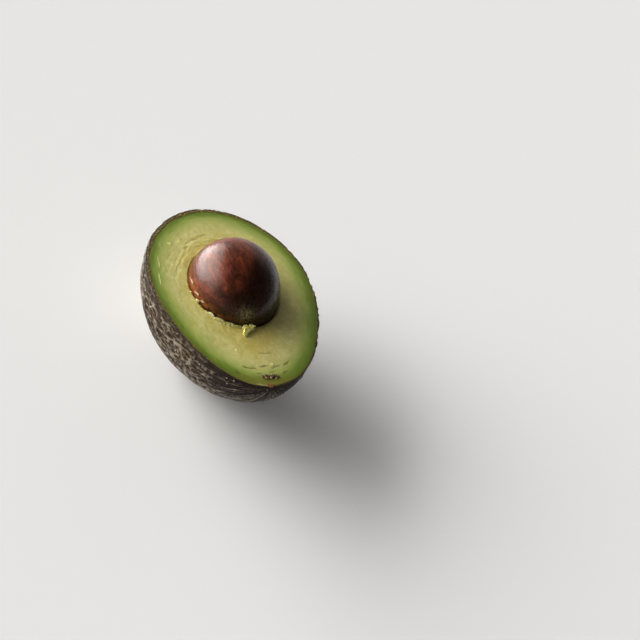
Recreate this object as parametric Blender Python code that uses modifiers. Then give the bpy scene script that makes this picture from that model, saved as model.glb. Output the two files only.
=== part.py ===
"""Half an avocado, cut lengthwise through the stem, lying on its back with its seed in place.

Metres, +Z up. The fruit's length runs along X with the stem end at +X, and the XZ plane
divides it into two equal sides. The origin is level with the small flat spot that the half
rests on, below the middle of its length. Everything is modelled from the centre of the cut
face, and one empty lifts it to its height.
"""

import math

import bmesh
import bpy
from mathutils import Matrix, Vector

# Driving dimensions.
LENGTH = 0.100  # blunt end to stem end
SKIN = 0.0014  # thickness of the peel
GAP = 0.0003  # between pieces that touch
FLAT_DEPTH = 0.0008  # how far the flat spot cuts into the round back
SEED_LENGTH = 0.0432
SEED_WIDTH = 0.0388
SEED_PLACE = Vector((-0.0039, 0, 0.0005))  # the seed's centre from the cut face's centre
SEED_NARROWING = 0.05  # how much slimmer the seed is towards the stem
PLUG_RADIUS = 0.0019  # the dry stem left in the fruit
PLUG_DEPTH = 0.0025
PLUG_EDGE = 0.0004

# The outline is LENGTH * sin(t) wide, times a sum of these over cos 0, cos t, cos 2t, cos 3t.
FULLNESS = 0.360
TAPER = 0.031
SHOULDER = -0.007
NECK = -0.009
BELLY = 0.18  # how much deeper than round the back is at mid-length

# Mesh fineness.
BODY_RINGS = 30
BODY_STEPS = 40
SEED_RINGS = 18
SEED_STEPS = 32
PLUG_STEPS = 20
SMOOTH_ANGLE = math.radians(35)


def outline(t):
    """Distance along the fruit and half-width there, from the blunt end at 0 to the stem at pi."""
    width = FULLNESS + TAPER * math.cos(t) + SHOULDER * math.cos(2 * t) + NECK * math.cos(3 * t)
    return Vector((-LENGTH / 2 * math.cos(t), LENGTH * math.sin(t) * width))


def seed_outline(t):
    """The same for the seed, which is an egg with its slimmer end towards the stem."""
    width = SEED_WIDTH / 2 * (1 + SEED_NARROWING * math.cos(t))
    return Vector((-SEED_LENGTH / 2 * math.cos(t), width * math.sin(t)))


def offset_points(curve, inset, rings):
    """Points along a curve, moved inwards by inset. The first and the last are on the axis."""
    points = []
    for ring in range(rings + 1):
        t = math.pi * ring / rings
        along = (curve(t + 0.001) - curve(t - 0.001)).normalized()
        place = curve(t) - inset * Vector((-along.y, along.x))
        points.append((place.x, max(place.y, 0.0), 0.0))
    return points


def belly_stretch(x):
    """How many times deeper than round the back is at a distance along the fruit."""
    return 1 + BELLY * max(0.0, 1 - (2 * x / LENGTH) ** 2)


def back_depth():
    """How far the back's deepest point is below the cut face."""
    places = (outline(math.pi * i / 400) for i in range(401))
    return max(place.y * belly_stretch(place.x) for place in places)


def add_object(name, mesh, collection, parent, place=(0, 0, 0)):
    obj = bpy.data.objects.new(name, mesh)
    collection.objects.link(obj)
    obj.parent = parent
    obj.location = place
    return obj


def turned_mesh(name, points, steps):
    """A closed solid: the points turned about the X axis."""
    profile = bpy.data.meshes.new(name)
    edges = [(i, i + 1) for i in range(len(points) - 1)]
    profile.from_pydata(points, edges, [])
    lathe = bpy.data.objects.new(name + "_lathe", profile)
    bpy.context.scene.collection.objects.link(lathe)
    screw = lathe.modifiers.new("Screw", "SCREW")
    screw.axis = "X"
    screw.steps = steps
    screw.render_steps = steps
    screw.use_merge_vertices = True
    screw.merge_threshold = 0.00001
    screw.use_normal_calculate = True
    graph = bpy.context.evaluated_depsgraph_get()
    mesh = bpy.data.meshes.new_from_object(lathe.evaluated_get(graph))
    mesh.name = name
    bpy.data.objects.remove(lathe)
    bpy.data.meshes.remove(profile)
    return mesh


def finish_mesh(mesh):
    """Faces outwards, smooth where the surface is round."""
    shape = bmesh.new()
    shape.from_mesh(mesh)
    bmesh.ops.recalc_face_normals(shape, faces=shape.faces)
    shape.to_mesh(mesh)
    shape.free()
    mesh.shade_smooth()
    mesh.set_sharp_from_angle(angle=SMOOTH_ANGLE)
    return mesh


def fruit_mesh(name, inset):
    """The whole fruit, smaller by inset all round, with the deeper back below the cut."""
    mesh = turned_mesh(name, offset_points(outline, inset, BODY_RINGS), BODY_STEPS)
    for vertex in mesh.vertices:
        if vertex.co.z < 0:
            vertex.co.z *= belly_stretch(vertex.co.x)
    return finish_mesh(mesh)


def seed_mesh(name, inset):
    return finish_mesh(turned_mesh(name, offset_points(seed_outline, inset, SEED_RINGS), SEED_STEPS))


def plug_mesh(name, clearance):
    """A short round button along the X axis."""
    shape = bmesh.new()
    radius = PLUG_RADIUS + clearance
    bmesh.ops.create_cone(
        shape,
        cap_ends=True,
        segments=PLUG_STEPS,
        radius1=radius,
        radius2=radius,
        depth=PLUG_DEPTH + 2 * clearance,
    )
    bmesh.ops.rotate(shape, verts=shape.verts, matrix=Matrix.Rotation(math.pi / 2, 3, "Y"))
    mesh = bpy.data.meshes.new(name)
    shape.to_mesh(mesh)
    shape.free()
    return finish_mesh(mesh)


def box_mesh(name, low, high):
    shape = bmesh.new()
    bmesh.ops.create_cube(shape, size=1)
    bmesh.ops.scale(shape, verts=shape.verts, vec=high - low)
    bmesh.ops.translate(shape, verts=shape.verts, vec=(high + low) / 2)
    mesh = bpy.data.meshes.new(name)
    shape.to_mesh(mesh)
    shape.free()
    return mesh


def add_cutter(name, mesh, collection, parent, place=(0, 0, 0)):
    cutter = add_object(name, mesh, collection, parent, place)
    cutter.hide_render = True
    cutter.display_type = "WIRE"
    return cutter


def cut(piece, *cutters):
    for cutter in cutters:
        boolean = piece.modifiers.new("Cut by " + cutter.name, "BOOLEAN")
        boolean.operation = "DIFFERENCE"
        boolean.solver = "EXACT"
        boolean.object = cutter


def add_material(piece, colour, roughness):
    material = bpy.data.materials.new(piece.name)
    material.use_nodes = True
    shader = material.node_tree.nodes["Principled BSDF"]
    shader.inputs["Base Color"].default_value = (*colour, 1)
    shader.inputs["Roughness"].default_value = roughness
    shader.inputs["Metallic"].default_value = 0.0
    piece.data.materials.append(material)


def clear_scene():
    for obj in list(bpy.data.objects):
        bpy.data.objects.remove(obj)


def main():
    clear_scene()
    parts = bpy.data.collections.new("avocado_half")
    cutters = bpy.data.collections.new("cutters")
    for collection in (parts, cutters):
        bpy.context.scene.collection.children.link(collection)

    depth = back_depth()
    cut_centre = bpy.data.objects.new("cut_centre", None)
    cut_centre.location = (0, 0, depth - FLAT_DEPTH)
    parts.objects.link(cut_centre)
    plug_place = Vector((LENGTH / 2 - PLUG_DEPTH / 2, 0, 0))

    # The other half, everything below the flat spot, and the room each inner piece takes.
    reach = Vector((LENGTH, LENGTH, LENGTH))
    other_half = add_cutter(
        "other_half",
        box_mesh("other_half", Vector((-LENGTH, -LENGTH, 0)), reach),
        cutters,
        cut_centre,
    )
    below_flat = add_cutter(
        "below_flat",
        box_mesh("below_flat", -reach, Vector((LENGTH, LENGTH, FLAT_DEPTH - depth))),
        cutters,
        cut_centre,
    )
    under_skin = add_cutter("under_skin", fruit_mesh("under_skin", SKIN), cutters, cut_centre)
    socket = add_cutter("socket", seed_mesh("socket", -GAP), cutters, cut_centre, SEED_PLACE)
    plug_hole = add_cutter("plug_hole", plug_mesh("plug_hole", GAP), cutters, cut_centre, plug_place)

    skin = add_object("skin", fruit_mesh("skin", 0.0), parts, cut_centre)
    cut(skin, under_skin, other_half, plug_hole, below_flat)
    add_material(skin, (0.075, 0.055, 0.045), 0.6)

    flesh = add_object("flesh", fruit_mesh("flesh", SKIN + GAP), parts, cut_centre)
    cut(flesh, socket, other_half, plug_hole)
    add_material(flesh, (0.44, 0.42, 0.12), 0.45)

    seed = add_object("seed", seed_mesh("seed", 0.0), parts, cut_centre, SEED_PLACE)
    add_material(seed, (0.075, 0.022, 0.010), 0.3)

    plug = add_object("stem_plug", plug_mesh("stem_plug", 0.0), parts, cut_centre, plug_place)
    bevel = plug.modifiers.new("Worn edge", "BEVEL")
    bevel.width = PLUG_EDGE
    bevel.segments = 2
    cut(plug, other_half)
    add_material(plug, (0.28, 0.13, 0.05), 0.8)


main()
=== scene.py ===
"""The looks of an avocado half with its seed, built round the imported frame.

Metres, +Z up. The stem end is at +X and the cut face looks up. Each CAD node is replaced by a
finer piece of the same size: the pebbled peel, the cut flesh, the seed and the dry stem.
"""

import math

import bmesh
import bpy
import numpy as np
from mathutils import Matrix, Vector


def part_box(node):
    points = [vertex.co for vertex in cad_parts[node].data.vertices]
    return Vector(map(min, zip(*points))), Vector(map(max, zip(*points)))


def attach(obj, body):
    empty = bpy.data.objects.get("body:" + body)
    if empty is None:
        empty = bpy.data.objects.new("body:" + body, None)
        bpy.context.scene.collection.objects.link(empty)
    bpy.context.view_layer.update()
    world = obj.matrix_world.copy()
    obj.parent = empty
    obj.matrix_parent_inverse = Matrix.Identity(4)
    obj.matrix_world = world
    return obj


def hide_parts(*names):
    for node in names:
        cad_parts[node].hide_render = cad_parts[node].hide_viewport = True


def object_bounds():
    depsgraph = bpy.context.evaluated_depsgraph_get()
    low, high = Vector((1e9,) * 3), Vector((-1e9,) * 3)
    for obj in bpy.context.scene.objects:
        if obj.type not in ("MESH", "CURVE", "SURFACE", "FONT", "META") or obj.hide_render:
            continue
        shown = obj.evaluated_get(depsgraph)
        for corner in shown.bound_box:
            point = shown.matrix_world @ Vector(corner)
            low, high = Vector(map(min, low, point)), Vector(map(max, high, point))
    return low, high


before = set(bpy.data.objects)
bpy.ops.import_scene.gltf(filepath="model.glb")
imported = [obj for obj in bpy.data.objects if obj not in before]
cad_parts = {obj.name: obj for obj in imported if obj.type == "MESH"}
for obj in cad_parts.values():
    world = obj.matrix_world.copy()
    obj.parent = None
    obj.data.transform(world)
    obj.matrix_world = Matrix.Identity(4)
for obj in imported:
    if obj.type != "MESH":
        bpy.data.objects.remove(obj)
CAD_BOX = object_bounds()

MM = 0.001

# The fruit's proportions, as the CAD has them: width along the outline over the length.
FULLNESS = 0.360
TAPER = 0.031
SHOULDER = -0.007
NECK = -0.009
BELLY = 0.18
SEED_NARROWING = 0.05

# Sizes and places from the frame.
LENGTH = CAD_BOX[1].x - CAD_BOX[0].x
CUT_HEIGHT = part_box("flesh")[1].z
SEED_LOW, SEED_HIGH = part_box("seed")
SEED_CENTRE = (SEED_LOW + SEED_HIGH) / 2
SEED_SIZE = SEED_HIGH - SEED_LOW
PLUG_LOW, PLUG_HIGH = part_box("stem_plug")
PLUG_RADIUS = (PLUG_HIGH.y - PLUG_LOW.y) / 2
PLUG_DEPTH = PLUG_HIGH.x - PLUG_LOW.x

# The peel, and how the flesh lies in it.
PEEL_THICK = 1.8 * MM
PEEL_THIN = 0.5 * MM
PEEL_GAP = 0.04 * MM
WALL_DROP = 0.6 * MM  # from the cut down to where the peel's inside starts
PEEL_EDGE_DROP = 0.12 * MM
CUT_PEEL_ROUGHNESS = 0.09 * MM
FLESH_INSET = 2.0 * MM  # from the fruit's outside to the flesh under the peel
SOCKET_GAP = 0.3 * MM  # between the seed and its socket
SOCKET_EDGE_DROP = 0.40 * MM
FACE_EDGE_DROP = 0.10 * MM
TORN_LIP = 0.7 * MM

# Fineness: how often a ball's triangles are split, and how many rings or sides there are.
PEEL_SPLITS = 8
PEEL_INSIDE_SPLITS = 6
PEEL_EDGE_RINGS = 8
SEED_SPLITS = 7
STEM_SPLITS = 6
STEM_TOP_RINGS = 10
FACE_TURNS = 720
FACE_RINGS = 96
WALL_RINGS = 11
STRAND_SIDES = 8
RAG_FINENESS = (17, 29)
COAT_SCRAP_FINENESS = (9, 25)
CRUMB_CELL = 0.12 * MM
OUTLINE_STEPS = 4000
DISTANCE_STEPS = 720
POINTS_AT_ONCE = 2000
NORMAL_STEP = 1e-4

# The camera, as seen from the object: a long lens, turned about its own axis.
CAMERA_TARGET = Vector((0.0186, 0.0308, CUT_HEIGHT + 0.0050))
CAMERA_DISTANCE = 0.7416
CAMERA_AZIMUTH = math.radians(-38.26)
CAMERA_ELEVATION = math.radians(42.05)
CAMERA_ROLL = math.radians(27.34)
CAMERA_LENS = 100.0
SENSOR = 36.0

# The room's light: brightness, and where the window's soft edges are, in degrees.
WINDOW = 9.6
WINDOW_START = (170, 198)
WINDOW_END = (282, 242)
WINDOW_TOP = (20, 37)
WINDOW_RISE = (180, 220)  # where its top edge climbs from the first height to the second
WINDOW_BLUR = 9
WALL = 0.66
CEILING = 0.30
WALL_END = (16, 40)
DIM = 0.20
DIM_SIDE = (0.71, 0.41, 0.57)
WARM_WHITE = (1.0, 0.99, 0.97, 1)

# The low card beside the fruit.
CARD_SIZE = (0.21, 0.060)
CARD_AZIMUTH = 217
CARD_DISTANCE = 0.16
CARD_LIFT = 0.006
CARD_SHARE = 0.85  # of the window's brightness

FLOOR_HALF = 2.0
FLOOR_COLOUR = (0.94, 0.94, 0.94, 1)


# ---------------------------------------------------------------- repeatable noise
# Each use of noise in this script passes a seed of its own.


def cell_value(cells, seed):
    """A repeatable number from 0 to 1 for each whole-number cell."""
    x, y, z = (cells[..., axis].astype(np.int64) for axis in range(3))
    mixed = (x * 73856093) ^ (y * 19349663) ^ (z * 83492791) ^ (seed * 39916801)
    mixed = (mixed ^ (mixed >> 13)) * 1274126177
    return ((mixed ^ (mixed >> 16)) & 0xFFFFFF) / 0xFFFFFF


def smooth_noise(points, seed):
    """Noise from -1 to 1 that changes over about one unit."""
    base = np.floor(points)
    part = points - base
    part = part * part * (3 - 2 * part)
    total = np.zeros(len(points))
    for corner in np.ndindex(2, 2, 2):
        weight = np.prod(np.where(corner, part, 1 - part), axis=1)
        total += weight * cell_value(base + corner, seed)
    return 2 * total - 1


def layered_noise(points, seed, layers=3):
    total = np.zeros(len(points))
    for layer in range(layers):
        total += smooth_noise(points * 2.03**layer + 17.3 * layer, seed + layer) / 2**layer
    return total


def noise_vectors(points, seed):
    """Three noises side by side, which push each point its own way."""
    return np.stack([smooth_noise(points, seed + axis) for axis in range(3)], 1)


def nearest_cells(points, seed):
    """Distances to the two nearest scattered points, and a number that goes with the nearest."""
    base = np.floor(points)
    first = np.full(len(points), 9.0)
    second = first.copy()
    owner = np.zeros(len(points))
    for offset in np.ndindex(3, 3, 3):
        cells = base + np.array(offset) - 1
        places = cells + np.stack([cell_value(cells, seed + axis) for axis in range(3)], 1)
        away = np.linalg.norm(places - points, axis=1)
        closer = away < first
        second = np.where(closer, first, np.minimum(second, away))
        owner = np.where(closer, cell_value(cells, seed + 7), owner)
        first = np.minimum(first, away)
    return first, second, owner


def ease(low, high, values):
    """0 below low, 1 above high, and smooth between."""
    share = np.clip((values - low) / (high - low), 0, 1)
    return share * share * (3 - 2 * share)


# ---------------------------------------------------------------- the fruit's form


def unit(vectors):
    return vectors / np.linalg.norm(vectors, axis=1)[:, None]


def circle(turn):
    """Unit directions in the plane of the cut, at angles in radians."""
    return np.stack([np.cos(turn), np.sin(turn), 0 * turn], 1)


def fruit_surface(directions):
    """The fruit is a sphere stretched by a formula: one point for each unit direction."""
    along = -directions[:, 0]
    width = FULLNESS + TAPER * along
    width += SHOULDER * (2 * along**2 - 1)
    width += NECK * (4 * along**3 - 3 * along)
    depth = np.where(directions[:, 2] < 0, 1 + BELLY * (1 - along**2), 1)
    return np.stack(
        [
            LENGTH / 2 * directions[:, 0],
            LENGTH * width * directions[:, 1],
            LENGTH * width * depth * directions[:, 2] + CUT_HEIGHT,
        ],
        axis=1,
    )


def seed_surface(directions):
    """An egg with its slimmer end towards the stem."""
    slimming = 1 - SEED_NARROWING * directions[:, 0]
    return np.array(SEED_CENTRE) + np.stack(
        [
            SEED_SIZE.x / 2 * directions[:, 0],
            SEED_SIZE.y / 2 * slimming * directions[:, 1],
            SEED_SIZE.z / 2 * slimming * directions[:, 2],
        ],
        axis=1,
    )


def normals_of(surface, directions):
    """Outward normals of a stretched sphere."""
    helper = np.where(np.abs(directions[:, :1]) < 0.9, [[1.0, 0, 0]], [[0, 1.0, 0]])
    side = unit(np.cross(directions, helper))
    other = np.cross(directions, side)

    def slope(turn):
        ahead = unit(directions + NORMAL_STEP * turn)
        behind = unit(directions - NORMAL_STEP * turn)
        # The deeper back starts at the cut, so both sides are read with the same depth.
        below = directions[:, 2] <= 0
        ahead[below, 2] = np.minimum(ahead[below, 2], -1e-12)
        behind[below, 2] = np.minimum(behind[below, 2], -1e-12)
        return surface(ahead) - surface(behind)

    return unit(np.cross(slope(side), slope(other)))


def ball_shape(splits):
    ball = bmesh.new()
    bmesh.ops.create_icosphere(ball, subdivisions=splits, radius=1)
    return ball


def points_and_faces(shape):
    points = np.array([vertex.co for vertex in shape.verts])
    return points, np.array([[vertex.index for vertex in face.verts] for face in shape.faces])


def half_sphere(splits):
    """The lower half of a ball of near-equal triangles: directions, faces and the rim in order."""
    ball = ball_shape(splits)
    upper = [vertex for vertex in ball.verts if vertex.co.z > 1e-5]
    bmesh.ops.delete(ball, geom=upper, context="VERTS")
    ball.verts.index_update()
    directions, faces = points_and_faces(ball)
    rim = np.array([vertex.index for vertex in ball.verts if vertex.is_boundary])
    ball.free()
    directions[rim, 2] = 0
    directions = unit(directions)
    rim = rim[np.argsort(np.arctan2(directions[rim, 1], directions[rim, 0]))]
    return directions, faces, rim


def whole_sphere(splits):
    ball = ball_shape(splits)
    directions, faces = points_and_faces(ball)
    ball.free()
    return unit(directions), faces


def bridge(first, second):
    """Faces between two closed rings of vertices that go the same way round."""
    return list(zip(first, np.roll(first, -1), np.roll(second, -1), second))


def fan(ring, tip):
    """Faces from a closed ring of vertices to one vertex."""
    return [(here, after, tip) for here, after in zip(ring, np.roll(ring, -1))]


def bridge_coarse(fine, coarse):
    """Faces between a ring and one with fewer vertices, which divides its count."""
    count, share = len(coarse), len(fine) // len(coarse)
    faces = []
    for i in range(count):
        for j in range(share):
            ahead = j >= share // 2
            here = fine[i * share + j]
            after = fine[(i * share + j + 1) % len(fine)]
            faces.append((here, after, coarse[(i + ahead) % count]))
        faces.append((fine[i * share + share // 2], coarse[(i + 1) % count], coarse[i]))
    return faces


def add_object(name, data):
    new = bpy.data.objects.new(name, data)
    bpy.context.scene.collection.objects.link(new)
    return new


def make_piece(name, points, faces, material, attributes=()):
    """A closed mesh object with its faces outwards, shaded smooth, riding on the one body."""
    mesh = bpy.data.meshes.new(name)
    faces = [tuple(map(int, face)) for face in faces]
    mesh.from_pydata([tuple(point) for point in points], [], faces)
    mesh.update()
    shape = bmesh.new()
    shape.from_mesh(mesh)
    bmesh.ops.recalc_face_normals(shape, faces=shape.faces)
    shape.to_mesh(mesh)
    shape.free()
    mesh.shade_smooth()
    for label, values in attributes:
        values = np.asarray(values, np.float32)
        if values.ndim == 1:
            mesh.attributes.new(label, "FLOAT", "POINT").data.foreach_set("value", values)
        else:
            layer = mesh.attributes.new(label, "FLOAT_VECTOR", "POINT")
            layer.data.foreach_set("vector", values.ravel())
    piece = add_object(name, mesh)
    mesh.materials.append(material)
    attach(piece, "root")
    return piece


# ---------------------------------------------------------------- materials


class Nodes:
    """A node tree, built one node at a time. A value is a constant or another node's socket."""

    def __init__(self, tree):
        self.tree = tree

    def add(self, kind, **settings):
        node = self.tree.nodes.new("ShaderNode" + kind)
        for name, setting in settings.items():
            setattr(node, name, setting)
        return node

    def feed(self, socket, value):
        if isinstance(value, bpy.types.NodeSocket):
            self.tree.links.new(value, socket)
        else:
            socket.default_value = value

    def math(self, operation, first, second=0.0, clamp=False):
        node = self.add("Math", operation=operation, use_clamp=clamp)
        self.feed(node.inputs[0], first)
        self.feed(node.inputs[1], second)
        return node.outputs[0]

    def plus(self, first, second):
        return self.math("ADD", first, second)

    def minus(self, first, second):
        return self.math("SUBTRACT", first, second)

    def times(self, first, second):
        return self.math("MULTIPLY", first, second)

    def vector_math(self, operation, first, second, output="Vector"):
        node = self.add("VectorMath", operation=operation)
        self.feed(node.inputs[0], first)
        self.feed(node.inputs[1], second)
        return node.outputs[output]

    def span(self, value, low, high, to_low=0.0, to_high=1.0):
        """The value's place between low and high, eased, as a number from to_low to to_high."""
        node = self.add("MapRange", interpolation_type="SMOOTHSTEP")
        limits = {"From Min": low, "From Max": high, "To Min": to_low, "To Max": to_high}
        for name, number in limits.items():
            node.inputs[name].default_value = number
        self.feed(node.inputs["Value"], value)
        return node.outputs["Result"]


class Shader(Nodes):
    """A material. Its texture places are in millimetres."""

    def __init__(self, name):
        self.material = bpy.data.materials.new(name)
        self.material.use_nodes = True
        super().__init__(self.material.node_tree)
        self.surface = self.tree.nodes["Principled BSDF"]
        self.place = self.stretch((1 / MM,) * 3, self.add("TexCoord").outputs["Object"])

    def set(self, **values):
        """Values of the surface shader, by the names of its sockets with _ for a space."""
        for name, value in values.items():
            self.feed(self.surface.inputs[name.replace("_", " ")], value)

    def attribute(self, name, output="Fac"):
        return self.add("Attribute", attribute_name=name).outputs[output]

    def stretch(self, factors, vector=None):
        return self.vector_math("MULTIPLY", vector or self.place, factors)

    def noise(self, size, detail=3.0, roughness=0.55, vector=None, distortion=0.0):
        node = self.add("TexNoise")
        self.feed(node.inputs["Vector"], vector or self.place)
        node.inputs["Scale"].default_value = 1 / size
        node.inputs["Detail"].default_value = detail
        node.inputs["Roughness"].default_value = roughness
        node.inputs["Distortion"].default_value = distortion
        return node.outputs["Fac"]

    def cells(self, size, vector, feature="F1"):
        node = self.add("TexVoronoi", feature=feature)
        self.feed(node.inputs["Vector"], vector)
        node.inputs["Scale"].default_value = 1 / size
        return node.outputs["Distance"]

    def mix(self, share, first, second):
        node = self.add("Mix", data_type="RGBA")
        self.feed(node.inputs[0], share)
        self.feed(node.inputs[6], first)
        self.feed(node.inputs[7], second)
        return node.outputs[2]

    def ramp(self, value, stops):
        """Colours along a value, from (place, colour) pairs."""
        node = self.add("ValToRGB")
        elements = node.color_ramp.elements
        while len(elements) < len(stops):
            elements.new(0.5)
        for element, (place, colour) in zip(elements, stops):
            element.position = place
            element.color = colour
        self.feed(node.inputs[0], value)
        return node.outputs["Color"]

    def bump(self, height, distance):
        """Distance is the height in millimetres of a value of 1."""
        node = self.add("Bump")
        node.inputs["Distance"].default_value = distance * MM
        self.feed(node.inputs["Height"], height)
        return node.outputs["Normal"]


def srgb(red, green, blue):
    """A colour given as 0 to 255 display values."""
    values = [value / 255 for value in (red, green, blue)]
    linear = [v / 12.92 if v <= 0.04045 else ((v + 0.055) / 1.055) ** 2.4 for v in values]
    return (*linear, 1)


def skin_material():
    shader = Shader("avocado_peel")
    stem = shader.attribute("stem_share")
    streaks = shader.noise(0.9, 3, 0.6, shader.stretch((0.25, 1, 1)))
    patches = shader.noise(8, 3)
    dark = shader.mix(patches, srgb(28, 18, 8), srgb(52, 35, 19))
    dark = shader.mix(stem, dark, srgb(34, 22, 18))
    crest = shader.mix(shader.span(streaks, 0.35, 0.65), srgb(78, 66, 49), srgb(166, 151, 124))
    crest = shader.mix(stem, crest, srgb(116, 103, 82))
    colour = shader.mix(shader.attribute("crest"), dark, crest)
    # Pale specks: lenticels, and partly painted glints on small bumps.
    specks_and_glints = shader.cells(2.4, shader.stretch((0.7, 1, 1)))
    specks_and_glints = shader.plus(specks_and_glints, shader.span(patches, 0.42, 0.56, 0, 0.1))
    colour = shader.mix(shader.span(specks_and_glints, 0.16, 0.10), colour, srgb(206, 192, 166))
    grain = shader.noise(0.4, 4, 0.6, shader.stretch((0.35, 1, 1)))
    shader.set(
        Base_Color=colour,
        Roughness=shader.span(grain, 0.3, 0.7, 0.36, 0.50),
        Normal=shader.bump(grain, 0.12),
        Specular_IOR_Level=shader.span(shader.attribute("crest"), 0.1, 0.8, 0.09, 0.55),
    )
    return shader.material


def rim_material():
    shader = Shader("cut_peel")
    depth = shader.math("DIVIDE", shader.attribute("into_peel"), 2.0, clamp=True)
    grain = shader.noise(0.75, 3, 0.7)
    colour = shader.ramp(
        depth,
        [
            (0.00, srgb(30, 22, 15)),
            (0.22, srgb(48, 37, 18)),
            (0.36, srgb(92, 74, 30)),
            (0.75, srgb(98, 84, 32)),
            (0.95, srgb(72, 74, 22)),
        ],
    )
    inner = shader.span(depth, 0.15, 0.30)
    light = shader.times(shader.span(grain, 0.52, 0.62), inner)
    colour = shader.mix(light, colour, srgb(160, 138, 72))
    colour = shader.mix(shader.span(grain, 0.44, 0.36), colour, srgb(42, 30, 16))
    stem = shader.times(shader.attribute("stem_share"), 0.85)
    colour = shader.mix(stem, colour, srgb(34, 23, 14))
    shader.set(
        Base_Color=colour,
        Roughness=0.5,
        Specular_IOR_Level=0.3,
        Normal=shader.bump(grain, 0.25),
    )
    return shader.material


def flesh_material():
    shader = Shader("cut_flesh")
    from_skin = shader.attribute("from_skin")
    # Streaks and clouds that run along the outline.
    band = shader.attribute("band_place", "Vector")
    cloud = shader.noise(4.5, 3, 0.55, shader.stretch((1.0, 0.35, 0.35), band))
    wisps = shader.noise(0.9, 3, 0.6, shader.stretch((1.0, 0.14, 0.14), band))
    clouds = shader.times(shader.minus(cloud, 0.5), 5.0)
    wander = shader.plus(clouds, shader.times(shader.minus(wisps, 0.5), 2.2))
    wander = shader.times(wander, shader.span(from_skin, 0.5, 5.0, 0.15, 1.0))
    share = shader.math("DIVIDE", shader.plus(from_skin, wander), 20.0, clamp=True)
    colour = shader.ramp(
        share,
        [
            (0.00, srgb(88, 92, 22)),
            (0.08, srgb(92, 108, 24)),
            (0.15, srgb(106, 128, 36)),
            (0.25, srgb(142, 156, 70)),
            (0.37, srgb(170, 175, 94)),
            (0.54, srgb(191, 186, 113)),
            (0.78, srgb(196, 187, 110)),
            (1.00, srgb(194, 178, 92)),
        ],
    )
    mottle = shader.noise(2.6, 4, 0.6)
    yellow = shader.span(mottle, 0.46, 0.66, 0, 0.55)
    yellow = shader.times(shader.span(from_skin, 6, 11), yellow)
    colour = shader.mix(yellow, colour, srgb(214, 206, 140))
    stem_tint = shader.span(from_skin, 9, 3, 0, 0.65)
    stem_tint = shader.times(shader.attribute("near_stem"), stem_tint)
    colour = shader.mix(stem_tint, colour, srgb(122, 112, 42))
    olive = shader.span(mottle, 0.46, 0.30, 0, 0.5)
    olive = shader.times(shader.span(from_skin, 4, 9), olive)
    colour = shader.mix(olive, colour, srgb(176, 160, 74))
    # Pale marks; on the near side beside the peel their paleness is a painted highlight.
    colour = shader.mix(shader.attribute("pale"), colour, srgb(226, 222, 150))
    colour = shader.mix(shader.attribute("brown"), colour, srgb(92, 74, 24))
    grain = shader.noise(0.55, 3, 0.6)
    shader.set(
        Base_Color=colour,
        Roughness=shader.span(mottle, 0.3, 0.7, 0.36, 0.52),
        Specular_IOR_Level=0.35,
        Subsurface_Weight=0.15,
        Subsurface_Radius=(1.0, 0.9, 0.3),
        Subsurface_Scale=1.5 * MM,
        Normal=shader.bump(grain, 0.05),
    )
    return shader.material


def seed_material():
    shader = Shader("seed_coat")
    bands = shader.noise(5.0, 4, 0.62, shader.stretch((0.32, 1, 1)), 0.5)
    colour = shader.ramp(
        bands,
        [
            (0.30, srgb(54, 20, 8)),
            (0.45, srgb(84, 34, 17)),
            (0.57, srgb(112, 50, 30)),
            (0.72, srgb(132, 68, 46)),
        ],
    )
    fine = shader.noise(0.9, 3, 0.6, shader.stretch((0.35, 1, 1)))
    veins = shader.cells(3.0, shader.stretch((0.4, 1, 1)), "DISTANCE_TO_EDGE")
    colour = shader.mix(shader.span(veins, 0.06, 0.0, 0, 0.55), colour, srgb(26, 9, 4))
    colour = shader.mix(shader.span(fine, 0.56, 0.74, 0, 0.22), colour, srgb(128, 70, 46))
    colour = shader.mix(shader.span(fine, 0.44, 0.30, 0, 0.30), colour, srgb(30, 12, 6))
    # Painted shade, darkest on the side away from the window.
    colour = shader.mix(shader.attribute("painted_shade"), colour, srgb(24, 10, 3))
    colour = shader.mix(shader.attribute("edge_tint"), colour, srgb(134, 78, 38))
    smear = shader.times(shader.attribute("smear"), shader.span(fine, 0.38, 0.60))
    colour = shader.mix(smear, colour, srgb(136, 126, 86))
    shader.set(
        Base_Color=colour,
        Roughness=shader.span(fine, 0.3, 0.7, 0.25, 0.34),
        Specular_IOR_Level=0.31,
        Specular_Tint=(1.0, 0.87, 0.80, 1),
        Normal=shader.bump(fine, 0.05),
    )
    return shader.material


def stem_material():
    shader = Shader("dry_stem")
    grain = shader.noise(0.5, 4, 0.65, shader.stretch((0.4, 1, 1)))
    colour = shader.ramp(
        grain,
        [(0.40, srgb(48, 28, 12)), (0.52, srgb(126, 76, 28)), (0.66, srgb(166, 110, 50))],
    )
    shader.set(Base_Color=colour, Roughness=0.8, Normal=shader.bump(grain, 0.15))
    return shader.material


def plain_material(name, light, dark, size, roughness):
    """Two shades in a fine grain."""
    shader = Shader(name)
    grain = shader.noise(size, 4, 0.6)
    colour = shader.mix(shader.span(grain, 0.35, 0.65), dark, light)
    shader.set(Base_Color=colour, Roughness=roughness, Normal=shader.bump(grain, 0.1))
    return shader.material


# ---------------------------------------------------------------- the peel


def peel_thickness(angle):
    """The cut peel is thickest on the blunt end's near side, thin towards the stem, and thicker
    again just beside it."""
    lean = 0.5 + 0.5 * np.cos(angle - math.radians(218))
    beside_stem = 0.55 * MM * np.exp(-(((angle - 0.16) / 0.12) ** 2))
    varied = 0.18 * MM * smooth_noise(8 * circle(angle), 31)
    return PEEL_THIN + (PEEL_THICK - PEEL_THIN) * lean**1.7 + beside_stem + varied


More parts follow.
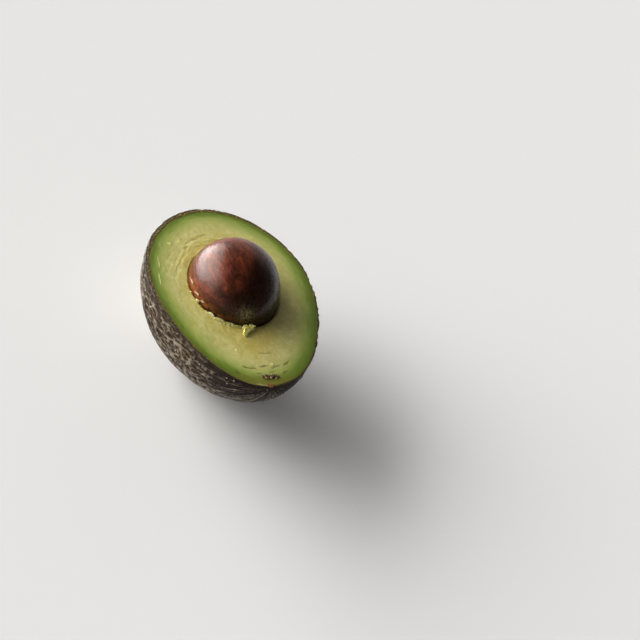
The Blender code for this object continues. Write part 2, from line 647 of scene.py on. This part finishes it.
def peel_relief(points):
    """The pebbled peel at each point, in numbers from 0 to 1: its height from the pits to the
    crests, how pale it is, and how near the stem."""
    place = (points - (0, 0, CUT_HEIGHT)) / MM
    warp = noise_vectors(place / 5, 3)
    first, second, owner = nearest_cells(place / (4.7, 2.6, 2.6) + 0.30 * warp, 11)
    edge = second - first
    # Wide crests and small pits at the blunt end, thin crests round large cells further on.
    onward = ease(-38, -14, place[:, 0] + 6 * warp[:, 0])
    pebbles = 1 - ease(0.0, 1, edge / (0.66 - 0.24 * onward)) * (0.6 + 0.4 * owner)
    threads = np.clip(1 - np.abs(layered_noise(place / (4.5, 0.9, 0.9), 27, 2)) * 3.4, 0, 1)
    # Lines that run together towards the stem.
    radius = np.maximum(np.hypot(place[:, 1], place[:, 2]), 0.5)
    around = 18 * place[:, 1:] / radius[:, None]
    lines = np.column_stack([place[:, 0] / 10, around / 1.2])
    lines = np.clip(1 - np.abs(layered_noise(lines, 17, 2)) * 2.4, 0, 1)
    stem = ease(30, 43, place[:, 0] + 5 * warp[:, 0])
    relief = np.clip((pebbles + 0.12 * threads) * (1 - stem) + lines * stem, 0, 1)
    broken = 0.20 * layered_noise(place / (3, 1.5, 1.5), 25, 2)
    start = 0.34 + 0.46 * onward - 0.13 * ease(14, 34, place[:, 0]) - 0.08 * stem
    crest = ease(0, 1, (relief + broken - start) / 0.26)
    crest = np.maximum(crest, 0.35 * threads * onward * (1 - stem))
    crest *= (1 - 0.24 * onward) * (1 - 0.6 * onward * ease(-5, -0.5, place[:, 2]))
    return relief, crest, stem


def make_skin():
    directions, faces, rim = half_sphere(PEEL_SPLITS)
    base = fruit_surface(directions)
    normals = normals_of(fruit_surface, directions)
    relief, crest, stem = peel_relief(base)
    swell = smooth_noise(base / MM / (7, 5, 5), 21)
    height = MM * ((0.60 - 0.25 * stem) * (relief - 0.6) + 0.30 * swell)
    outer = base + height[:, None] * normals
    outer[:, 2] = np.clip(outer[:, 2], 0, CUT_HEIGHT)

    inner_directions, inner_faces, inner_rim = half_sphere(PEEL_INSIDE_SPLITS)
    inner = fruit_surface(inner_directions)
    inner -= PEEL_THICK * normals_of(fruit_surface, inner_directions)
    inner[inner_rim, 2] = CUT_HEIGHT - WALL_DROP

    # The cut edge: rings from the outer rim to the inner one, slightly rough.
    outline = base[rim]
    width = peel_thickness(np.arctan2(outline[:, 1], outline[:, 0]))
    outer[rim, 2] = CUT_HEIGHT - PEEL_EDGE_DROP
    inside = outline - width[:, None] * normals[rim]
    steps = np.linspace(0, 1, PEEL_EDGE_RINGS + 1)[1:]
    rings = []
    for step in steps:
        ring = outer[rim] + (inside - outer[rim]) * step
        rough = layered_noise(ring / (0.8 * MM), 41, 2)
        ring[:, 2] = CUT_HEIGHT + CUT_PEEL_ROUGHNESS * rough
        rings.append(ring)

    points = [outer, *rings, inner]
    starts = np.cumsum([0] + [len(block) for block in points])
    around = np.arange(len(rim))
    all_faces = [tuple(face) for face in faces]
    before = rim
    for start in starts[1:-2]:
        all_faces += bridge(before, start + around)
        before = start + around
    all_faces += bridge_coarse(before, starts[-2] + inner_rim)
    all_faces += [tuple(starts[-2] + face[::-1]) for face in inner_faces]

    into = np.zeros(starts[-1])
    for start, step in zip(starts[1:-2], steps):
        into[start + around] = step * width / MM
    into[starts[-2] :] = PEEL_THICK / MM
    points = np.concatenate(points)
    rest = points[len(relief) :, 0] / MM
    piece = make_piece(
        "peel",
        points,
        all_faces,
        skin_material(),
        [
            ("crest", np.concatenate([crest, 0 * rest])),
            ("stem_share", np.concatenate([stem, ease(34, 47, rest)])),
            ("into_peel", into),
        ],
    )
    piece.data.materials.append(rim_material())
    cut = np.zeros(len(all_faces), np.int32)
    cut[len(faces) :] = 1
    piece.data.polygons.foreach_set("material_index", cut)
    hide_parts("skin")


# ---------------------------------------------------------------- the cut flesh


def inset_outline(angles, inset):
    """The cut outline moved inwards, at angles seen from the seed's centre."""
    directions = circle(np.linspace(-math.pi, math.pi, OUTLINE_STEPS + 1)[:-1])
    places = fruit_surface(directions)
    width = inset(np.arctan2(places[:, 1], places[:, 0]))
    places = places - width[:, None] * normals_of(fruit_surface, directions)
    seen = np.arctan2(places[:, 1] - SEED_CENTRE.y, places[:, 0] - SEED_CENTRE.x)
    x = np.interp(angles, seen, places[:, 0], period=2 * math.pi)
    y = np.interp(angles, seen, places[:, 1], period=2 * math.pi)
    return np.stack([x, y], 1)


def distance_to_outline(points):
    """How far each point of the cut face is from the fruit's outline."""
    turn = np.linspace(0, 2 * math.pi, DISTANCE_STEPS + 1)[:-1]
    ring = fruit_surface(circle(turn))[:, :2]
    nearest = [
        np.sqrt(((block[:, None] - ring[None]) ** 2).sum(2).min(1))
        for block in np.array_split(points[:, :2], max(1, len(points) // POINTS_AT_ONCE))
    ]
    return np.concatenate(nearest)


def face_marks():
    """Marks on the cut face, in millimetres and degrees: x, y, half-length, half-width, angle,
    height, and a tone that is above 0 for pale and below 0 for brown."""
    random = np.random.default_rng(3)
    marks = [
        (-29, -22, 0.9, 0.45, 40, 0.25, 0.9),
        (30, -9, 0.7, 0.35, 20, 0.20, 0.7),
        (38, 4, 0.5, 0.35, 0, 0.25, 1.0),
        (32, 3, 3.0, 0.46, 88, -0.12, -0.40),
        (46, 1, 1.4, 1.60, 0, -0.08, -0.30),
    ]

    def add(turn, radius, *shape):
        place = math.radians(turn)
        marks.append((radius * math.cos(place), radius * math.sin(place), *shape))

    # Raised streaks beside the peel on the near side, coloured pale as a painted highlight, and
    # pale scratches next to the stem.
    for turn, radius in ((-122, 35), (-106, 33)):
        add(turn, radius, 3.0, 0.20, -6, 0.14, 0.5)
    for turn in (-10, -4):
        add(turn, 48.5, 2.2, 0.20, 90 + 2.2 * turn, 0.10, 0.55)
    # Low ridges round the blunt end.
    for turn in range(168, 210, 10):
        radius, length = random.uniform(29.5, 34), random.uniform(1.4, 1.9)
        add(turn, radius, length, 0.4, turn - 90, 0.13, random.uniform(0.15, 0.3))
    # Brown fibre ends near the stem, along the outline.
    for turn in range(-16, 17, 4):
        radius, length = random.uniform(38.5, 44), random.uniform(1.1, 2.3)
        angle = 90 + 2.2 * turn + random.uniform(-8, 8)
        add(turn, radius, length, 0.35, angle, -0.15, random.uniform(-0.75, -0.55))
    return marks


def marks_at(points, marks):
    """Height and tone that the marks give at each point of the cut face."""
    height = np.zeros(len(points))
    tones = np.zeros(len(points))
    bend = 0.35 * smooth_noise(points / (1.6 * MM), 91)
    for x, y, length, width, angle, rise, tone in marks:
        away = points[:, :2] / MM - (x, y)
        turn = math.radians(angle)
        along = away @ (math.cos(turn), math.sin(turn))
        across = away @ (-math.sin(turn), math.cos(turn)) + bend
        share = np.exp(-((along / length) ** 4) - (across / width) ** 2)
        height += rise * MM * share
        tones += tone * share
    return height, tones


def face_height(points):
    """Unevenness of the cut face in metres."""
    place = points / MM
    away = place[:, :2] - (SEED_CENTRE.x / MM, SEED_CENTRE.y / MM)
    from_seed = np.hypot(away[:, 0] / SEED_SIZE.x, away[:, 1] / SEED_SIZE.y) * 2 * MM
    swell = 0.15 * smooth_noise(place / 12, 51)
    fine = 0.035 * layered_noise(place / (2.4, 1.3, 1), 53, 3)
    # Smears left by the knife on the blunt side of the seed.
    warp = 0.9 * smooth_noise(place / 6, 57)
    turn = np.arctan2(away[:, 1], away[:, 0])
    out = 15 * from_seed + warp
    wave = layered_noise(np.column_stack([out, 5 * np.cos(turn) + warp, 5 * np.sin(turn)]), 55, 2)
    smeared = ease(4, -16, away[:, 0]) * ease(1.75, 1.2, from_seed) * ease(14, -4, away[:, 1])
    return (swell + fine + 0.11 * smeared * wave) * MM


def socket_rim(angles):
    """The face's inner edge round the seed, and how torn it is, most on the near side."""
    centre = np.array([SEED_CENTRE.x, SEED_CENTRE.y])
    half = np.array([SEED_SIZE.x, SEED_SIZE.y]) / 2
    torn = ease(-0.1, -0.6, np.sin(angles)) * ease(-0.35, 0.3, np.cos(angles))
    ragged = layered_noise(30 * circle(angles), 61, 3)
    gap = MM * (0.28 + (0.10 + 0.22 * torn) * ragged)
    return centre + circle(angles)[:, :2] * (half + gap[:, None]), torn


def face_rings(inner, outer, lips):
    """Rings of points from the socket to the peel, and the tone of the marks at each point."""
    marks = face_marks()
    rings, tones = [], []
    for step in np.linspace(0, 1, FACE_RINGS):
        flat = inner + (outer - inner) * step
        ring = np.column_stack([flat, np.full(FACE_TURNS, CUT_HEIGHT)])
        rise, tone = marks_at(ring, marks)
        lip = math.exp(-(((step - 0.02) / 0.03) ** 2)) * lips
        uneven = (face_height(ring) + rise) * (1 - ease(0.97, 1, step))
        ring[:, 2] += uneven + TORN_LIP * lip
        ring[:, 2] -= SOCKET_EDGE_DROP * (1 - ease(0, 0.05, step))
        ring[:, 2] -= FACE_EDGE_DROP * ease(0.985, 1, step)
        rings.append(ring)
        tones.append(tone + 0.6 * lip)
    return rings, tones


def lowered(around, level):
    """Directions round a circle, turned down from the cut by an angle."""
    directions = math.cos(level) * around
    directions[:, 2] = -math.sin(level)
    return directions


def make_flesh():
    angles = np.arange(FACE_TURNS) * 2 * math.pi / FACE_TURNS
    inner, torn = socket_rim(angles)
    seen = np.arctan2(inner[:, 1] - SEED_CENTRE.y, inner[:, 0] - SEED_CENTRE.x)
    outer = inset_outline(seen, lambda angle: peel_thickness(angle) + PEEL_GAP)
    lumps = layered_noise(22 * circle(angles) + (0, 0, 5), 67, 3)
    rings, tones = face_rings(inner, outer, torn * np.clip(lumps, 0, 1))

    # The wall that lies in the peel, then the socket from its rim down.
    wall_inset = PEEL_THICK + 2 * PEEL_GAP
    wall_top = inset_outline(seen, lambda angle: np.full_like(angle, wall_inset))
    wall_height = CUT_HEIGHT - WALL_DROP - PEEL_GAP
    rings.append(np.column_stack([wall_top, np.full(FACE_TURNS, wall_height)]))
    wall_turn = circle(np.arctan2(outer[:, 1] / FULLNESS, outer[:, 0] * 2))
    levels = np.linspace(0, math.pi / 2, WALL_RINGS + 2)[1:-1]
    for level in levels:
        directions = lowered(wall_turn, level)
        normals = normals_of(fruit_surface, directions)
        rings.append(fruit_surface(directions) - FLESH_INSET * normals)
    socket = []
    for level in levels:
        directions = lowered(circle(angles), level)
        socket.append(seed_surface(directions) + SOCKET_GAP * directions)
    lowest = (SEED_CENTRE.x, 0, rings[-1][:, 2].min() - 0.4 * MM)
    deepest = (SEED_CENTRE.x, 0, SEED_LOW.z - SOCKET_GAP)
    points = np.concatenate(rings + socket + [[lowest], [deepest]])

    loops = [np.arange(FACE_TURNS) + FACE_TURNS * i for i in range(len(rings) + len(socket))]
    outside, inside = loops[: len(rings)], [loops[0], *loops[len(rings) :]]
    faces = []
    for chain, tip in ((outside, len(points) - 2), (inside, len(points) - 1)):
        for first, second in zip(chain, chain[1:]):
            faces += bridge(first, second)
        faces += fan(chain[-1], tip)

    face_count = FACE_TURNS * FACE_RINGS
    from_skin = np.full(len(points), 3.0)
    from_skin[:face_count] = distance_to_outline(points[:face_count]) / MM
    from_skin[:face_count] *= 1 - 0.28 * ease(30, 46, points[:face_count, 0] / MM)
    from_skin[FACE_TURNS * len(rings) :] = 18
    band = 40 * circle(np.arctan2(points[:, 1], points[:, 0]))
    tones = np.concatenate([*tones, np.zeros(len(points) - face_count)])
    attributes = [
        ("from_skin", from_skin),
        ("band_place", np.column_stack([from_skin, band[:, :2]])),
        ("near_stem", ease(41, 48.5, points[:, 0] / MM)),
        ("pale", np.clip(tones, 0, 1)),
        ("brown", np.clip(-tones, 0, 1)),
    ]
    piece = make_piece("flesh_body", points, faces, flesh_material(), attributes)
    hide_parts("flesh")


# ---------------------------------------------------------------- the seed and the stem


def make_seed():
    directions, faces = whole_sphere(SEED_SPLITS)
    points = seed_surface(directions)
    normals = normals_of(seed_surface, directions)
    place = points / MM
    height = 0.14 * smooth_noise(place / (12, 8, 8), 71)
    height += 0.025 * layered_noise(place / (3, 1.4, 1.4), 73, 2)
    points = points + (height * MM)[:, None] * normals
    # Flesh smeared on the end towards the stem, and a paler edge where the coat is rubbed.
    smear_place = (place - (16.3, -2.8, CUT_HEIGHT / MM + 6.2)) / (3.6, 3.2, 2.8)
    smear = np.exp(-((smear_place**2).sum(1)))
    above_cut = place[:, 2] - CUT_HEIGHT / MM
    near_side = ease(0.1, 0.8, -directions[:, 1]) * ease(-0.9, 0.2, directions[:, 0])
    rubbed = ease(-0.4, 0.3, layered_noise(place / 2.2, 75, 2))
    tint = ease(5.0, 0.6, above_cut) * near_side * rubbed
    # Painted shade: the coat is darkened on the side away from the window, with a streaky border.
    streaks = layered_noise(place / (9, 2.5, 2.5), 77, 3)
    painted_shade = 0.88 * ease(-0.50, 0.12, directions @ (0.79, 0.53, -0.32) + 0.20 * streaks)
    piece = make_piece(
        "seed_body",
        points,
        faces,
        seed_material(),
        [("smear", smear), ("edge_tint", 0.7 * tint), ("painted_shade", painted_shade)],
    )
    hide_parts("seed")


def make_stem():
    """The half button of dry stem, rough and square-shouldered."""
    directions, faces, rim = half_sphere(STEM_SPLITS)
    middle = (PLUG_LOW + PLUG_HIGH) / 2
    squared = np.sign(directions) * np.abs(directions) ** 0.8
    points = np.stack(
        [
            middle.x + (0.42 * PLUG_DEPTH) * squared[:, 0],
            middle.y + (0.80 * PLUG_RADIUS) * squared[:, 1],
            CUT_HEIGHT + (0.60 * PLUG_RADIUS) * squared[:, 2],
        ],
        axis=1,
    )
    rough = 0.10 * MM * layered_noise(points / (0.9 * MM), 81, 2)
    points += rough[:, None] * directions
    points[rim, 2] = CUT_HEIGHT
    # The cut top: smaller rings towards the middle.
    blocks, all_faces = [points], [tuple(face) for face in faces]
    before = rim
    centre = np.array([middle.x, middle.y, CUT_HEIGHT])
    for step in np.linspace(0, 1, STEM_TOP_RINGS + 2)[1:-1]:
        ring = points[rim] + (centre - points[rim]) * step
        ring[:, 2] += 0.16 * MM * (0.6 + layered_noise(ring / (0.6 * MM), 83, 2))
        here = sum(len(block) for block in blocks) + np.arange(len(rim))
        all_faces += bridge(before, here)
        blocks.append(ring)
        before = here
    all_faces += fan(before, sum(len(block) for block in blocks))
    blocks.append([centre + (0, 0, 0.1 * MM)])
    piece = make_piece("stem_button", np.concatenate(blocks), all_faces, stem_material())
    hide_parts("stem_plug")


# ---------------------------------------------------------------- small things on the cut face


def strand(path, radius, seed):
    """A closed bent strand, thin at both ends: points and faces."""
    path = np.asarray(path, float)
    count = 4 * (len(path) - 1) + 1
    share = np.linspace(0, len(path) - 1, count)
    line = [np.interp(share, np.arange(len(path)), path[:, axis]) for axis in range(3)]
    line = np.stack(line, 1)
    line += 0.12 * noise_vectors(line / 0.8, seed) * (1, 1, 0.3)
    side = unit(np.cross(np.gradient(line, axis=0), (0, 0, 1.0)))
    size = radius * (0.35 + 0.65 * np.sin(np.linspace(0, math.pi, count)))
    size *= 1 + 0.45 * smooth_noise(line / 0.5, seed + 5)
    turns = np.arange(STRAND_SIDES) * 2 * math.pi / STRAND_SIDES
    across, up = np.cos(turns)[:, None], np.sin(turns)[:, None] * (0, 0, 1.0)
    rings = [line[i] + size[i] * (across * side[i] + up) for i in range(count)]
    loops = [np.arange(STRAND_SIDES) + STRAND_SIDES * i for i in range(count)]
    faces = []
    for first, second in zip(loops, loops[1:]):
        faces += bridge(first, second)
    faces += [tuple(loops[0][::-1]), tuple(loops[-1])]
    return np.concatenate(rings), faces


def join_shapes(shapes):
    """One shape in metres from several in millimetres."""
    points, faces, start = [], [], 0
    for shape_points, shape_faces in shapes:
        points.append(shape_points)
        faces += [tuple(start + int(i) for i in face) for face in shape_faces]
        start += len(shape_points)
    return np.concatenate(points) * MM, faces


def make_strands():
    """Cut fibres near the stem: a broken arc of dark ends with cream ones between them."""
    top = CUT_HEIGHT / MM
    random = np.random.default_rng(5)
    dark, pale = [], []
    for index, y in enumerate(np.arange(-1.9, 5.2, 0.55)):
        ends = pale if index % 4 == 2 else dark
        x = 44.4 + 0.40 * random.normal() + 0.4 * (index % 4 == 2)
        lean = random.uniform(-0.8, 0.8)
        half = random.uniform(0.65, 1.35)
        dx, dy = half * math.cos(lean), half * math.sin(lean)
        path = [(x - dx, y - dy, top + 0.02), (x, y, top + 0.20), (x + dx, y + dy, top + 0.02)]
        ends.append(strand(path, random.uniform(0.26, 0.42), 200 + 9 * index))
    for index, y in enumerate((-1.6, 1.0, 3.6)):
        path = [(44.9, y - 1.0, top), (44.6, y, top + 0.16), (45.0, y + 1.0, top)]
        dark.append(strand(path, 0.28, 400 + 9 * index))
    for name, shapes, light, shade in (
        ("stem_fibres", dark, srgb(86, 60, 26), srgb(40, 25, 9)),
        ("pale_fibres", pale, srgb(188, 160, 96), srgb(120, 90, 44)),
    ):
        material = plain_material(name, light, shade, 0.5, 0.6)
        piece = make_piece(name, *join_shapes(shapes), material)


def sheet(place, rows, columns):
    """A closed thin sheet: place(u, v) gives its lower and upper points for u and v, -1 to 1."""
    u, v = np.meshgrid(np.linspace(-1, 1, columns), np.linspace(-1, 1, rows))
    lower, upper = place(u.ravel(), v.ravel())
    count = rows * columns
    faces = []
    for row in range(rows - 1):
        for column in range(columns - 1):
            a = row * columns + column
            quad = (a, a + 1, a + columns + 1, a + columns)
            faces.append(quad)
            faces.append(tuple(count + i for i in quad[::-1]))
    edge = (
        list(range(columns))
        + [row * columns + columns - 1 for row in range(1, rows)]
        + [(rows - 1) * columns + i for i in range(columns - 2, -1, -1)]
        + [row * columns for row in range(rows - 2, 0, -1)]
    )
    faces += [(a, count + a, count + b, b) for a, b in zip(edge, edge[1:] + edge[:1])]
    return np.concatenate([lower, upper]), faces


def rag(centre, length, width, angle, curl, thickness, seed):
    """A torn rag of flesh: a curled sheet with an uneven outline, in millimetres and degrees."""

    def place(u, v):
        spot = np.stack([u * 2, v * 2, 0 * u + seed], 1)
        reach = 1 + 0.30 * layered_noise(spot, seed, 2)
        taper = np.sqrt(np.clip(1 - 0.9 * u**2, 0.05, 1))
        along = u * length * reach
        across = v * width * taper * reach
        rise = curl * (v * 0.6 + 0.5) ** 2 + 0.30 * layered_noise(spot * 1.2, seed + 3, 2)
        turn = math.radians(angle)
        middle = np.stack(
            [
                centre[0] + along * math.cos(turn) - across * math.sin(turn),
                centre[1] + along * math.sin(turn) + across * math.cos(turn),
                centre[2] + rise,
            ],
            axis=1,
        )
        body = thickness * np.sqrt(np.clip((1 - 0.95 * u**2) * (1 - 0.95 * v**2), 0.02, 1))
        lift = body[:, None] * np.array([0, 0, 1.0])
        return middle - lift, middle + lift

    return sheet(place, *RAG_FINENESS)


def make_crumbs():
    """Torn flesh at the seed's end towards the stem, and scraps along the torn edge."""
    top = CUT_HEIGHT / MM
    # The torn flesh is paler than the cut flesh: partly its own colour, partly painted light so
    # that the crumb in the seed's shade still looks lit.
    material = plain_material("torn_flesh", srgb(252, 247, 172), srgb(242, 234, 132), 1.2, 0.28)
    surface = material.node_tree.nodes["Principled BSDF"]
    surface.inputs["Subsurface Weight"].default_value = 0.5
    surface.inputs["Subsurface Radius"].default_value = (1.0, 0.9, 0.2)
    surface.inputs["Subsurface Scale"].default_value = 1.5 * MM
    crumb = [
        rag((20.7, -1.9, top + 0.75), 2.2, 1.3, 125, 1.0, 0.50, 601),
        rag((19.3, 0.4, top + 0.95), 1.3, 1.1, 75, 1.1, 0.46, 607),
        rag((21.6, -3.0, top + 0.55), 1.3, 1.0, 150, 0.7, 0.44, 611),
        rag((18.9, -2.4, top + 1.00), 1.4, 0.8, 100, 0.8, 0.40, 617),
    ]
    piece = make_piece("torn_crumb", *join_shapes(crumb), material)
    fuse(piece)
    scraps = []
    random = np.random.default_rng(9)
    for index, degrees in enumerate((-69, -52, -47, -37, -27, -22, -15)):
        turn = math.radians(degrees + 3 * random.normal())
        x = SEED_CENTRE.x / MM + SEED_SIZE.x / 2 / MM * 1.03 * math.cos(turn)
        y = SEED_SIZE.y / 2 / MM * 1.03 * math.sin(turn)
        length, width = random.uniform(0.9, 1.9), random.uniform(0.22, 0.50)
        angle = degrees + 90 + random.uniform(-22, 22)
        scraps.append(rag((x, y, top + 0.15), length, width, angle, 0.3, 0.16, 630 + 7 * index))
    piece = make_piece("torn_scraps", *join_shapes(scraps), material)


def fuse(piece):
    """Overlapping lumps become one closed skin."""
    remesh = piece.modifiers.new("Fuse", "REMESH")
    remesh.mode = "VOXEL"
    remesh.voxel_size = CRUMB_CELL
    graph = bpy.context.evaluated_depsgraph_get()
    mesh = bpy.data.meshes.new_from_object(piece.evaluated_get(graph))
    piece.modifiers.clear()
    piece.data = mesh
    mesh.shade_smooth()


def make_coat_scraps():
    """Papery remnants of the seed's coat on its low edge."""
    material = plain_material("seed_coat_scraps", srgb(184, 162, 124), srgb(126, 92, 54), 0.8, 0.7)
    seed_radius = 19.4  # in millimetres, to turn heights into angles
    shapes = []
    for index, (degrees, rise, length, width) in enumerate(
        [(-95, 1.9, 2.2, 0.55), (-78, 1.3, 1.5, 0.45), (-66, 1.0, 1.0, 0.35)]
    ):

        def place(u, v):
            spot = np.stack([u * 3, v * 2, 0 * u + index], 1)
            ragged = 1 + 0.35 * layered_noise(spot, 700 + index, 2)
            taper = np.sqrt(np.clip(1 - u**2 * 0.96, 0.02, 1))
            turn = np.radians(degrees) + u * length / 20
            level = (rise + v * width * taper * ragged + 0.4 * u) / seed_radius
            directions = np.stack(
                [np.cos(level) * np.cos(turn), np.cos(level) * np.sin(turn), np.sin(level)], 1
            )
            lift = 0.22 + 0.10 * layered_noise(spot * 0.7, 720 + index, 2)
            lower = seed_surface(directions) / MM + directions * 0.02
            return lower, lower + directions * np.clip(lift, 0.12, 1)[:, None]

        shapes.append(sheet(place, *COAT_SCRAP_FINENESS))
    piece = make_piece("coat_scraps", *join_shapes(shapes), material)


# ---------------------------------------------------------------- stage


def make_camera():
    data = bpy.data.cameras.new("camera")
    data.lens = CAMERA_LENS
    data.sensor_width = SENSOR
    data.clip_start = 0.01
    data.dof.use_dof = False
    camera = add_object("camera", data)
    towards = Vector(
        (
            math.cos(CAMERA_ELEVATION) * math.cos(CAMERA_AZIMUTH),
            math.cos(CAMERA_ELEVATION) * math.sin(CAMERA_AZIMUTH),
            math.sin(CAMERA_ELEVATION),
        )
    )
    turn = towards.to_track_quat("Z", "Y").to_matrix() @ Matrix.Rotation(CAMERA_ROLL, 3, "Z")
    place = CAMERA_TARGET + CAMERA_DISTANCE * towards
    camera.matrix_world = Matrix.Translation(place) @ turn.to_4x4()
    bpy.context.scene.camera = camera


def make_room():
    """Soft surroundings: a broad bright window low on one side, a dim ceiling, and pale walls."""
    world = bpy.data.worlds.new("soft_room")
    world.use_nodes = True
    nodes = Nodes(world.node_tree)
    direction = nodes.add("TexCoord").outputs["Generated"]
    parts = nodes.add("SeparateXYZ")
    nodes.feed(parts.inputs[0], direction)
    x, y, z = parts.outputs
    to_degrees = 180 / math.pi
    azimuth = nodes.times(nodes.math("ARCTAN2", y, x), to_degrees)
    azimuth = nodes.math("FLOORED_MODULO", azimuth, 360.0)
    elevation = nodes.times(nodes.math("ARCSINE", z), to_degrees)
    # The window, with soft edges and a top that rises along it.
    top_edge = nodes.span(azimuth, *WINDOW_RISE, *WINDOW_TOP)
    below_top = nodes.span(nodes.minus(elevation, top_edge), WINDOW_BLUR, -WINDOW_BLUR)
    beside = nodes.times(nodes.span(azimuth, *WINDOW_START), nodes.span(azimuth, *WINDOW_END))
    window = nodes.times(below_top, beside)
    room = nodes.span(elevation, *WALL_END, WALL, CEILING)
    # The room is dark behind the camera and to its right.
    facing = nodes.vector_math("DOT_PRODUCT", direction, DIM_SIDE, "Value")
    room = nodes.times(room, nodes.span(facing, -0.1, 0.6, 1.0, DIM))
    background = world.node_tree.nodes["Background"]
    background.inputs["Color"].default_value = WARM_WHITE
    strength = nodes.plus(room, nodes.times(window, WINDOW))
    nodes.feed(background.inputs["Strength"], strength)
    bpy.context.scene.world = world


def make_card():
    """A low card that shows the window's light under the horizon, in glossy surfaces only."""
    data = bpy.data.lights.new("low_card", "AREA")
    data.shape = "RECTANGLE"
    data.size, data.size_y = CARD_SIZE
    data.energy = CARD_SHARE * WINDOW * math.pi * CARD_SIZE[0] * CARD_SIZE[1]
    card = add_object("low_card", data)
    turn = math.radians(CARD_AZIMUTH)
    towards = Vector((math.cos(turn), math.sin(turn), 0))
    card.location = CARD_DISTANCE * towards + Vector((0, 0, CARD_SIZE[1] / 2 + CARD_LIFT))
    card.rotation_euler = towards.to_track_quat("Z", "Y").to_euler()
    card.visible_camera = False
    card.visible_diffuse = False


def make_stage():
    mesh = bpy.data.meshes.new("floor")
    shape = bmesh.new()
    bmesh.ops.create_grid(shape, x_segments=1, y_segments=1, size=FLOOR_HALF)
    shape.to_mesh(mesh)
    shape.free()
    floor = add_object("floor", mesh)
    shader = Shader("pale_floor")
    shader.set(Base_Color=FLOOR_COLOUR, Roughness=1.0, Specular_IOR_Level=0.0)
    mesh.materials.append(shader.material)

    make_room()
    make_card()
    bpy.context.scene.view_settings.view_transform = "Standard"


make_camera()
make_stage()
make_skin()
make_flesh()
make_seed()
make_stem()
make_strands()
make_crumbs()
make_coat_scraps()
